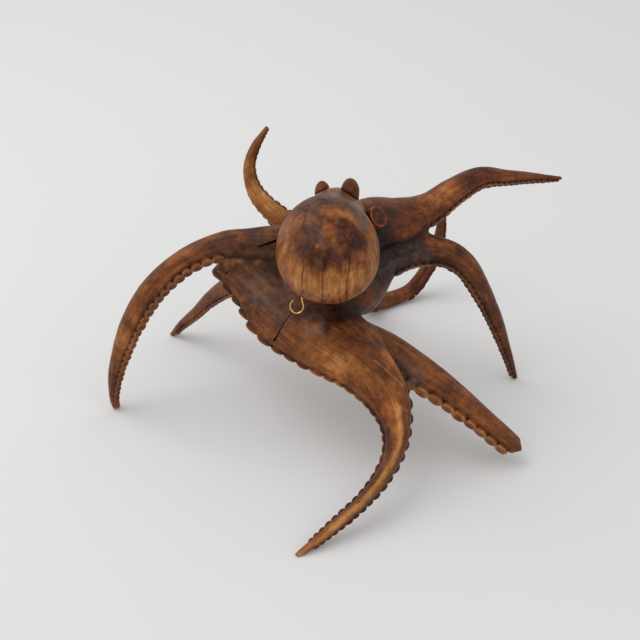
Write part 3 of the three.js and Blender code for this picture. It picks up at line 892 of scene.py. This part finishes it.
# Stained, rubbed and dusty places, with painted shadow and painted sheen among them: x, y, z, radius, then
# what they do to lightness, redness, and dust with painted sheen.
PLACES = [
    # the web: dark, dusty violet over its middle with three painted sheen spots, redder at its edge
    (-100, -34, 258, 60, -0.08, -0.35, 0.4), (-60, -60, 235, 55, -0.1, -0.35, 0.4),
    (-86, -46, 246, 24, 0.12, 0, 0.8), (-52, -52, 237, 18, 0.12, 0, 0.8), (-78, -54, 240, 14, 0.06, 0, 0.5),
    (-145, -40, 255, 20, 0.08, 0.5, -0.2), (-110, -70, 205, 36, 0.02, 0.35, -0.1),
    (-90, -78, 190, 30, 0.04, 0.3, 0),
    # painted shadow below the mantle and behind the siphon, and two painted sheens
    (12, -72, 208, 46, -0.34, -0.1, 0), (46, -60, 205, 40, -0.3, 0, 0), (85, 5, 285, 30, -0.36, 0, 0),
    (92, 8, 262, 24, -0.26, 0, 0), (98, -2, 305, 34, -0.26, -0.2, 0), (100, 22, 330, 30, -0.12, -0.2, 0.2),
    (-14, -94, 209, 20, 0.2, -0.1, 0.8), (-2, -102, 204, 16, 0.18, -0.1, 0.7),
    # front arm
    (20, -145, 172, 34, 0.1, 0.1, 0), (45, -160, 168, 30, 0.1, 0.05, 0), (0, -120, 186, 24, 0.08, 0.1, 0.1),
    (84, -132, 187, 17, -0.08, -0.3, 0.4), (90, -150, 176, 14, -0.14, 0, 0),
    (97, -195, 149, 30, 0.0, 0.5, 0), (107, -212, 132, 16, 0.16, 0.6, 0), (112, -230, 116, 14, 0.2, 0.3, 0),
    (84, -200, 134, 16, -0.12, 0, 0), (132, -203, 126, 18, -0.12, 0.2, 0), (22, -352, 24, 18, 0.1, 0, 0),
    # second front arm, with painted grey sheen at its root
    (105, -138, 178, 22, 0.16, 0.5, 0), (116, -128, 163, 16, 0.14, 0.4, 0),
    (138, -130, 140, 24, 0, -0.5, 0.6), (125, -120, 150, 16, -0.04, -0.4, 0.5),
    (150, -134, 133, 16, 0, -0.3, 0.5), (172, -125, 141, 30, 0.06, 0.3, 0),
    (230, -160, 90, 40, 0.04, 0.3, 0),
    # left arm
    (-95, 0, 318, 50, -0.12, -0.15, 0.15), (-130, -14, 316, 36, -0.1, 0, 0.1),
    (-115, -18, 315, 14, 0.16, 0.7, 0), (-60, 0, 322, 36, -0.08, -0.1, 0.15),
    (-215, -38, 290, 34, 0.02, 0.3, 0), (-300, -50, 220, 40, 0.08, 0, 0), (-320, -52, 160, 34, 0.12, 0, 0),
    (-335, -50, 110, 30, 0.06, 0, 0),
    # rear left arm
    (-76, 82, 306, 26, 0.14, 0, 0), (-99, 105, 329, 24, 0.18, 0, 0), (-104, 150, 376, 26, -0.16, 0.1, 0),
    (-91, 159, 403, 18, -0.1, 0.1, 0),
    # raised right arm
    (117, 42, 329, 45, -0.06, 0.3, 0), (139, 23, 314, 30, 0, 0.4, 0), (172, 61, 334, 26, 0.16, 0.1, 0),
    (195, 72, 348, 26, 0.2, 0.05, 0), (212, 83, 354, 22, 0.14, 0.1, 0), (252, 99, 362, 30, -0.04, 0.3, 0),
    (301, 113, 350, 34, -0.02, 0.35, 0), (370, 139, 329, 24, -0.05, 0.2, 0),
    (90, 20, 330, 28, -0.14, 0, 0.1),
    # right arm
    (110, 18, 250, 30, -0.14, -0.5, 0.6), (133, 18, 262, 26, -0.14, -0.5, 0.6),
    (157, 17, 268, 22, -0.1, -0.4, 0.5), (94, -10, 230, 26, -0.12, -0.4, 0.4),
    (175, 30, 280, 16, 0.26, 0.2, 0), (204, 26, 274, 20, 0.1, 0.2, 0), (237, 21, 232, 26, 0.04, 0, 0),
    (264, 24, 182, 30, 0.02, 0, 0.1), (310, 39, 52, 34, 0.02, 0.4, 0),
    # rear left low arm and rear right arm
    (-152, 90, 170, 40, 0.06, 0, 0), (-240, 155, 30, 30, -0.12, 0, 0), (160, 280, 32, 60, 0, 0.1, 0)]
MANTLE_TONE = (0.6, 0.45)
MANTLE_PLACES = [
    # a greyed crown, with painted sheen towards its right and a painted highlight on its right rim
    (15, -62, 417, 38, -0.26, -0.2, 0.3), (-12, -80, 414, 24, -0.18, -0.1, 0.2),
    (37, -49, 408, 22, -0.12, -0.3, 0.6), (52, -81, 406, 20, -0.08, -0.3, 0.8),
    (64, -98, 393, 16, -0.12, -0.3, 0.8), (84, -80, 362, 14, 0, -0.2, 0.5),
    # orange wood before it
    (22, -101, 414, 16, 0.12, 0.4, 0), (43, -102, 407, 11, 0.1, 0.4, 0), (14, -134, 398, 10, 0.2, 0.3, 0),
    # a dark red-brown cap, mottled in the middle, with one painted glint
    (-22, -108, 402, 26, -0.22, 0.1, 0.1), (0, -112, 410, 20, -0.14, 0.1, 0),
    (-22, -134, 382, 30, -0.2, 0, 0.1), (-4, -138, 390, 16, -0.08, -0.1, 0.4),
    (-24, -146, 362, 19, -0.12, 0, 0), (-3, -154, 364, 22, -0.2, 0.1, 0), (44, -128, 390, 32, -0.3, 0.2, 0),
    (62, -126, 376, 22, -0.2, 0.2, 0), (52, -142, 368, 26, -0.16, 0.2, 0),
    (26, -153, 366, 24, -0.22, 0.2, 0), (-1, -146, 385, 7, 0.2, 0, 0.5), (34, -118, 404, 14, -0.12, 0.3, 0),
    # lighter wood below, then darker places, and a painted grey sheen at the right of the top
    (-44, -136, 346, 24, 0.12, 0.1, 0), (-29, -153, 326, 26, 0.14, 0, 0), (7, -164, 325, 26, 0.12, 0, 0),
    (44, -154, 326, 28, 0.1, 0, 0), (70, -136, 345, 16, -0.06, 0.1, 0), (12, -140, 270, 40, -0.1, 0, 0),
    (-30, -60, 392, 26, -0.16, 0, 0.1), (20, -22, 400, 36, -0.16, -0.2, 0.4),
    (60, -66, 390, 22, -0.06, -0.3, 0.9)]


def weight_of(points, place, stretch=(1, 1, 1)):
    """How strongly a place marks each point: soft, with an edge that is ragged along the stretched axis."""
    radius = place[3]
    centre = put(place[:3])
    gap = np.linalg.norm(points - centre, axis=1) / radius
    drawn = points / stretch
    ragged = 0.34 * soft_noise(drawn, 0.45 * radius + 3, 51) + 0.22 * soft_noise(drawn, 0.15 * radius + 2, 52)
    share = np.clip(1.25 - gap + ragged, 0, 1)
    return share * share * (3 - 2 * share)


def painted(points, base, places, stretch=(1, 1, 1)):
    """Lightness, redness, and dust with painted sheen, of each point."""
    paint = base.copy()
    for place in places:
        near = np.flatnonzero(np.abs(points - put(place[:3])).max(1) < 1.8 * place[3])
        if len(near):
            paint[near] += weight_of(points[near], place, stretch)[:, None] * np.array(place[4:])
    return paint


def arm_tones(points):
    """The base colour between arms changes gradually from one's to the next's."""
    total, weights = np.zeros((len(points), 3)), np.zeros(len(points))
    for name, tone in ARM_TONES.items():
        spine = SPINES[name]
        index = spine.nearest(points)
        gap = np.linalg.norm(points - spine.centre[index], axis=1) - spine.half[index]
        weight = np.exp(-np.clip(gap, -20, 120) / 14) + 1e-9
        total += weight[:, None] * np.array([*tone, 0])
        weights += weight
    return total / weights[:, None]


def sucker_marks(points):
    """Painted shade in the grooves round the suckers and in their dishes, a painted highlight on their rims,
    and where their faces are.
    """
    shade_in_grooves, rim, face = np.zeros(len(points)), np.zeros(len(points)), np.zeros(len(points))
    order = np.argsort(points[:, 0])
    sorted_x = points[order, 0]
    for base, axis, radius in suckers:
        first, last = np.searchsorted(sorted_x, [base[0] - 1.7 * radius, base[0] + 1.7 * radius])
        index = order[first:last]
        rel = points[index] - base
        height = rel @ axis / radius
        out = np.sqrt(np.maximum((rel * rel).sum(1) / radius**2 - height**2, 0))
        on_it = (out < 1.03) & (height > 0.02) & (height < 0.7)
        foot = np.clip(1.5 - out, 0, 1) * np.clip(1 - np.abs(height - 0.02) / 0.42, 0, 1)
        dish = on_it * np.clip((0.78 - out) / 0.3, 0, 1) * 0.2
        shade_in_grooves[index] = np.maximum(shade_in_grooves[index], np.maximum(foot * 1.15, dish))
        # a painted highlight along the top of each sucker's rim
        lit = on_it * np.clip(1 - np.abs(out - 0.9) / 0.16, 0, 1) * np.clip((height - 0.28) / 0.2, 0, 1)
        rim[index] = np.maximum(rim[index], lit)
        face[index] = np.maximum(face[index], on_it * np.clip((height - 0.1) / 0.2, 0, 1))
    return np.clip(shade_in_grooves, 0, 1), rim, face


def store(obj, name, values):
    """A value, or a vector, on each vertex."""
    kind = "FLOAT_VECTOR" if values.ndim == 2 else "FLOAT"
    attribute = obj.data.attributes.new(name, kind, "POINT")
    attribute.data.foreach_set("vector" if values.ndim == 2 else "value", values.astype(np.float32).ravel())


def grain_of(name, points):
    """Position in the wood's own directions, in metres: along the grain first."""
    if name.startswith("arm_") or name == "web_left":
        return SPINES["front" if name == "web_left" else name[4:]].local(points) * MM
    if name == "mantle":
        rel = points - MANTLE_SPINE.centre[len(MANTLE_SPINE.centre) // 2]
        return rel[:, [2, 0, 1]] * MM
    along = unit((0.8, -0.3, 0.1))
    across = unit(np.cross((0, 0, 1), along))
    return np.stack([points @ along, points @ across, points @ np.cross(along, across)], 1) * MM


def along_line(points, line, width):
    """How near each point lies to a line of points, from 0 to 1."""
    gap = np.full(len(points), FAR)
    stops = put(line)
    for start, end in zip(stops[:-1], stops[1:]):
        ray = end - start
        share = np.clip((points - start) @ ray / (ray @ ray), 0, 1)
        gap = np.minimum(gap, np.linalg.norm(points - start - share[:, None] * ray, axis=1))
    return np.clip(1.5 - gap / width, 0, 1)


def rib(points):
    """Along the lower front arm: how light its rubbed rib is, between darker sides."""
    spine = SPINES["front"]
    along, across, outward = spine.local(points).T
    fade = np.clip((along / spine.arc[-1] - 0.52) / 0.1, 0, 1)
    return fade * (0.42 * np.exp(-((across - 1) / 5.5) ** 2) * np.clip(outward / 4, 0, 1) - 0.13)


# Bare wood: the glue line between the front arms, and chips along the left arm's lap, with their radii.
GLUE_LINE, GLUE_WIDTH = [(81, -150, 181), (96, -159, 173), (111, -169, 164), (125, -176, 151)], 1.1
CHIPS = [(-146, -19, 270, 9), (-134, -18, 273, 9), (-123, -18, 274, 6), (-95, -18, 274, 8)]
CREVICE = 6  # how far off the next wood may be for painted shade to darken a point


def finish_wood(name, obj):
    """Shades a piece smooth, up to its crisp edges, and stores its grain, its colours with their painted
    highlights, and its painted shade.
    """
    obj.data.shade_smooth()
    obj.data.set_sharp_from_angle(angle=math.radians(42))
    points = coords(obj)
    normals = normals_of(obj)
    # painted shade: points with wood close in front of them, in crevices and holes, are darkened
    shade_in_crevices = np.clip((CREVICE - whole_field.sample(points + CREVICE * normals)) / 5, 0, 1)
    shade_in_grooves, rim, face = sucker_marks(points)
    if name == "mantle":
        base = np.tile([*MANTLE_TONE, 0], (len(points), 1))
        paint = painted(points, base, MANTLE_PLACES, (1, 1, 4))
    else:
        paint = painted(points, arm_tones(points), PLACES)
        patch = sum((weight_of(points, chip) for chip in CHIPS), np.zeros(len(points)))
        patch = np.clip(patch + along_line(points, GLUE_LINE, GLUE_WIDTH), 0, 1)
        paint[:, 0] += 0.42 * patch * (1 - shade_in_grooves)
    if name == "arm_front":
        paint[:, 0] += rib(points)
    if name == "siphon":
        # paler, redder wood for the siphon, with a painted highlight along its lip
        foot, lip = put(SIPHON_BASE), put(SIPHON_RIM)
        height = (points - foot) @ unit(lip - foot) / np.linalg.norm(lip - foot)
        paint[:, 0] += 0.1 + 0.16 * np.clip((height - 0.93) / 0.06, 0, 1)
        paint[:, 1] += 0.3
    # a painted highlight on the suckers' rims; their faces are paler wood, most on the second front arm
    paint[:, 0] += 0.16 * rim + (0.13 if name == "arm_front_right" else 0.03) * face
    store(obj, "grain", grain_of(name, points))
    store(obj, "paint", np.clip(paint, -0.2, 1.2))
    # the painted shade of grooves and crevices, which darkens the wood and makes it rougher
    store(obj, "shade_in_grooves", np.maximum(shade_in_grooves, 0.75 * shade_in_crevices))


for name, obj in pieces.items():
    finish_wood(name, obj)

# ---- Materials ----------------------------------------------------------------------
class Nodes:
    """A short way to write a material's nodes."""

    def __init__(self, name):
        self.material = bpy.data.materials.new(name)
        self.material.use_nodes = True
        self.tree = self.material.node_tree
        self.shader = self.tree.nodes["Principled BSDF"]

    def add(self, kind, settings=None, **inputs):
        node = self.tree.nodes.new(kind)
        for key, value in (settings or {}).items():
            setattr(node, key, value)
        for key, value in inputs.items():
            self.set(node.inputs[key.replace("_", " ")], value)
        return node

    def set(self, socket, value):
        if isinstance(value, bpy.types.NodeSocket):
            self.tree.links.new(value, socket)
        else:
            socket.default_value = value

    def shade(self, socket, value):
        """Sets one of the shader's inputs."""
        self.set(self.shader.inputs[socket], value)

    def math(self, operation, a, b=0.0):
        node = self.add("ShaderNodeMath", {"operation": operation})
        self.set(node.inputs[0], a)
        self.set(node.inputs[1], b)
        return node.outputs[0]

    def swing(self, value, pattern, strength):
        """The value, with a pattern about 0.5 added to it."""
        return self.math("ADD", value, self.math("MULTIPLY", self.math("SUBTRACT", pattern, 0.5), strength))

    def bump(self, height, strength, distance):
        node = self.add("ShaderNodeBump", Height=height, Strength=strength, Distance=distance)
        self.shade("Normal", node.outputs[0])

    def attribute(self, name):
        return self.add("ShaderNodeAttribute", {"attribute_name": name})

    def noise(self, vector, scale, detail=3.0, rough=0.55, distortion=0.0):
        node = self.add("ShaderNodeTexNoise", Vector=vector, Scale=scale, Detail=detail, Roughness=rough,
                        Distortion=distortion)
        return node.outputs["Factor"] if "Factor" in node.outputs else node.outputs["Fac"]

    def stretched(self, vector, scale):
        node = self.add("ShaderNodeMapping", Vector=vector)
        node.inputs["Scale"].default_value = scale
        return node.outputs[0]

    def span(self, value, low, high, to_low=0.0, to_high=1.0):
        node = self.add("ShaderNodeMapRange", {"clamp": True}, Value=value)
        for key, number in zip(("From Min", "From Max", "To Min", "To Max"), (low, high, to_low, to_high)):
            node.inputs[key].default_value = number
        return node.outputs[0]

    def mix(self, share, a, b):
        node = self.add("ShaderNodeMix", {"data_type": "RGBA"})
        self.set(node.inputs[0], share)
        self.set(node.inputs[6], a)
        self.set(node.inputs[7], b)
        return node.outputs[2]

    def ramp(self, value, stops):
        node = self.add("ShaderNodeValToRGB", Fac=value)
        elements = node.color_ramp.elements
        while len(elements) < len(stops):
            elements.new(0.5)
        for element, (position, colour) in zip(elements, stops):
            element.position = position
            element.color = (*colour, 1)
        return node.outputs[0]


# From the darkest stain to rubbed wood, plain and redder.
BROWNS = [(0, (0.011, 0.0045, 0.0022)), (0.2, (0.034, 0.0125, 0.0052)), (0.4, (0.096, 0.032, 0.0095)),
          (0.6, (0.215, 0.078, 0.019)), (0.8, (0.4, 0.17, 0.048)), (1, (0.58, 0.31, 0.13))]
REDS = [(0, (0.013, 0.004, 0.002)), (0.2, (0.045, 0.011, 0.0042)), (0.4, (0.135, 0.034, 0.0085)),
        (0.6, (0.27, 0.08, 0.017)), (0.8, (0.44, 0.165, 0.04)), (1, (0.62, 0.28, 0.09))]
# A greyish colour for dust, which is also mixed over the wood as painted sheen.
DUST_AND_SHEEN = (0.14, 0.1, 0.09)
# Thin dark lines down the mantle: x, and the height where each ends, in metres; and how far they wander.
VEINS = ((-0.048, 0.362), (-0.019, 0.37), (0.017, 0.37), (0.006, 0.33))
WANDER = 0.03


def wood(name, mottle=0.31, streak=0.23, veins=()):
    """Waxed, stained hardwood that reads its colours and painted sheen from the piece's paint, and is
    darkened by painted shade in grooves and crevices.
    """
    n = Nodes(name)
    grain = n.attribute("grain").outputs["Vector"]
    place = n.add("ShaderNodeTexCoord").outputs["Object"]
    paint = n.add("ShaderNodeSeparateXYZ", Vector=n.attribute("paint").outputs["Vector"]).outputs
    shade_in_grooves = n.attribute("shade_in_grooves").outputs["Fac"]
    streaks = n.noise(n.stretched(grain, (9, 130, 130)), 1, 4, 0.6, 0.4)
    fibres = n.noise(n.stretched(grain, (70, 1100, 1100)), 1, 2, 0.6)
    blotches = n.noise(place, 26, 4, 0.6, 0.5)
    fine = n.noise(n.stretched(grain, (16, 420, 420)), 1, 3, 0.65, 0.3)
    stains = n.noise(place, 85, 5, 0.72, 0.4)
    tone = paint[0]
    for pattern, strength in ((streaks, 2 * streak), (blotches, 2 * mottle), (fine, 0.36), (stains, 0.55),
                              (fibres, 0.26)):
        tone = n.swing(tone, pattern, strength)
    where = n.add("ShaderNodeSeparateXYZ", Vector=place).outputs
    wander = n.math("MULTIPLY", n.noise(n.stretched(place, (5, 5, 16)), 1, 4, 0.5), WANDER)
    for x, top in veins:
        gap = n.math("ABSOLUTE", n.math("SUBTRACT", n.math("ADD", where[0], wander), x + WANDER / 2))
        below = n.span(where[2], top - 0.02, top, 1, 0)
        line = n.math("MULTIPLY", n.span(gap, 0.0002, 0.0013, 0.36, 0), below)
        tone = n.math("SUBTRACT", tone, line)
    # painted shade in grooves and crevices darkens the tone
    tone = n.math("SUBTRACT", tone, n.math("MULTIPLY", shade_in_grooves, 0.45))
    red = n.span(n.swing(paint[1], blotches, 0.8), 0, 1)
    colour = n.mix(red, n.ramp(tone, BROWNS), n.ramp(tone, REDS))
    # dust and painted sheen: the paint's third value mixes a greyish colour over the wood
    dust_and_sheen = n.math("MULTIPLY", n.span(paint[2], 0, 1), n.span(n.noise(place, 75, 5, 0.7), 0.34, 0.64))
    dust_and_sheen = n.math("MULTIPLY", dust_and_sheen, 0.75)
    n.shade("Base Color", n.mix(dust_and_sheen, colour, (*DUST_AND_SHEEN, 1)))
    shine = n.span(n.noise(place, 60, 3, 0.6), 0.3, 0.7, 0.34, 0.52)
    n.shade("Roughness", n.math("ADD", shine, n.math("MULTIPLY", shade_in_grooves, 0.25)))
    n.shade("Specular IOR Level", 0.2)
    relief = n.math("ADD", n.math("MULTIPLY", fibres, 0.5), n.math("MULTIPLY", streaks, 0.8))
    relief = n.math("ADD", relief, n.math("MULTIPLY", n.noise(place, 90, 3, 0.6), 0.9))
    n.bump(relief, 0.35, 0.0012)
    return n.material


def plain_dowel():
    n = Nodes("dowel_beech")
    place = n.add("ShaderNodeTexCoord").outputs["Object"]
    fibres = n.noise(n.stretched(place, (300, 300, 30)), 1, 3)
    n.shade("Base Color", n.ramp(fibres, [(0.3, (0.42, 0.27, 0.14)), (0.7, (0.62, 0.45, 0.27))]))
    n.shade("Roughness", 0.6)
    return n.material


def brass():
    n = Nodes("lacquered_brass")
    place = n.add("ShaderNodeTexCoord").outputs["Object"]
    tarnish = n.noise(place, 220, 3, 0.6)
    n.shade("Base Color", n.ramp(tarnish, [(0.35, (0.62, 0.4, 0.13)), (0.6, (0.9, 0.66, 0.27))]))
    n.shade("Roughness", n.span(tarnish, 0.3, 0.7, 0.34, 0.2))
    n.shade("Metallic", 1)
    n.bump(n.noise(place, 900, 2, 0.5), 0.15, 0.0003)
    return n.material


# ---- The cup hook -------------------------------------------------------------------
HOOK_Y, SHANK_X, SHANK_TOP, SHANK_FOOT = -95, -27.6, 277, 257
LOOP_X, LOOP_Z, HALF_WIDTH, HALF_HEIGHT = -35.1, 241.8, 10, 12.4
WIRE, FIRST_ANGLE, LAST_ANGLE = 2.4, 30, -244
THREAD_PITCH, THREAD_DEPTH = 1.5, 0.25


def hook_route():
    points = [(SHANK_X, HOOK_Y, z) for z in np.linspace(SHANK_TOP - 0.4, SHANK_FOOT + 1, 40)]
    angles = np.radians(np.linspace(FIRST_ANGLE, LAST_ANGLE, 72))
    loop = [(LOOP_X + HALF_WIDTH * math.cos(a), HOOK_Y, LOOP_Z + HALF_HEIGHT * math.sin(a)) for a in angles]
    neck = catmull_rom([points[-2], points[-1], loop[0], loop[1]], 0.5)[2:-2]
    return np.array(points[:-1] + [tuple(p) for p in neck if loop[0][2] < p[2] < points[-1][2]] + loop)


def cup_hook():
    """A screw hook: a threaded shank and a wire loop with a rounded end."""
    route = hook_route() + SHIFT
    tangent = np.gradient(route, axis=0)
    tangent /= np.linalg.norm(tangent, axis=1)[:, None]
    side = np.array([0.0, 1.0, 0.0])
    sides, above_neck = 20, SHANK_FOOT + 2
    angle = np.arange(sides) * 2 * math.pi / sides
    arc = np.concatenate([[0], np.cumsum(np.linalg.norm(np.diff(route, axis=0), axis=1))])
    verts = []
    for i, (point, along) in enumerate(zip(route, tangent)):
        normal = np.cross(along, side)
        radius = np.full(sides, WIRE / 2)
        if route[i, 2] > above_neck:
            turn = angle / (2 * math.pi) + arc[i] / THREAD_PITCH
            radius = radius - THREAD_DEPTH * (0.5 + 0.5 * np.cos(2 * math.pi * turn))
        left = arc[-1] - arc[i]
        if left < WIRE / 2:
            radius = radius * math.sqrt(max(1 - (1 - left / (WIRE / 2)) ** 2, 0.02))
        ring = np.outer(np.cos(angle) * radius, normal) + np.outer(np.sin(angle) * radius, side)
        verts.append(point + ring)
    return new_object("cup_hook_brass", np.vstack(verts), tube_faces(len(route), sides))


hook = cup_hook()
hook.data.shade_smooth()
hook.data.set_sharp_from_angle(angle=math.radians(50))
mesh = bmesh.new()
mesh.from_mesh(hook.data)
bmesh.ops.recalc_face_normals(mesh, faces=mesh.faces)
mesh.to_mesh(hook.data)
mesh.free()
hook.data.materials.append(brass())
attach(hook, "hook")
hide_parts("cup_hook")

# ---- Every piece gets its wood and its place ----------------------------------------
WOODS = {
    "dark_wood": wood("dark_hardwood"), "brown_wood": wood("brown_hardwood"),
    "tan_wood": wood("tan_hardwood"),
    "mantle_wood": wood("mottled_hardwood", mottle=0.31, streak=0.3, veins=VEINS)}
SLOT_OF = {row["node"]: row["material_slot"] for row in frame["record"]["subparts"]}
for name, obj in pieces.items():
    obj.data.materials.clear()
    obj.data.materials.append(WOODS[SLOT_OF[name]])
    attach(obj, "carving")
    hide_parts(name)
beech = plain_dowel()
for name in DOWELS:
    for material_slot in bpy.data.objects[name].material_slots:
        material_slot.material = beech

# ---- Studio -------------------------------------------------------------------------
TARGET = Vector((-0.026, 0.034, 0.15))
DISTANCE, ELEVATION, FOCAL = 2.4, math.radians(35), 84.375
PAPER, SKY, SKY_STRENGTH = (0.762, 0.765, 0.77, 1), (1.0, 0.99, 0.975, 1), 0.76
# Place, size and power of each lamp.
LAMPS = {"key": ((-1.6, 0.3, 2.7), 2.4, 30), "fill": ((1.6, -1.8, 2.4), 2.2, 4)}


def studio():
    bpy.ops.mesh.primitive_plane_add(size=14, location=(0, 0, -0.0005))
    ground = bpy.context.object
    ground.name = "studio_floor"
    n = Nodes("studio_paper")
    n.shade("Base Color", PAPER)
    n.shade("Roughness", 0.9)
    n.shade("Specular IOR Level", 0.1)
    ground.data.materials.append(n.material)
    scene = bpy.context.scene
    scene.view_settings.view_transform = "Standard"
    scene.world = bpy.data.worlds.new("studio")
    scene.world.use_nodes = True
    sky = scene.world.node_tree.nodes["Background"].inputs
    sky[0].default_value, sky[1].default_value = SKY, SKY_STRENGTH
    for name, (place, size, power) in LAMPS.items():
        light = bpy.data.objects.new(name, bpy.data.lights.new(name, "AREA"))
        light.data.size, light.data.energy = size, power
        light.location = place
        light.rotation_euler = (TARGET - Vector(place)).to_track_quat("-Z", "Y").to_euler()
        scene.collection.objects.link(light)
    camera = bpy.data.objects.new("camera", bpy.data.cameras.new("camera"))
    camera.data.lens = FOCAL
    away = Vector((0, -math.cos(ELEVATION), math.sin(ELEVATION)))
    camera.location = TARGET + DISTANCE * away
    camera.rotation_euler = (-away).to_track_quat("-Z", "Y").to_euler()
    scene.collection.objects.link(camera)
    scene.camera = camera


studio()
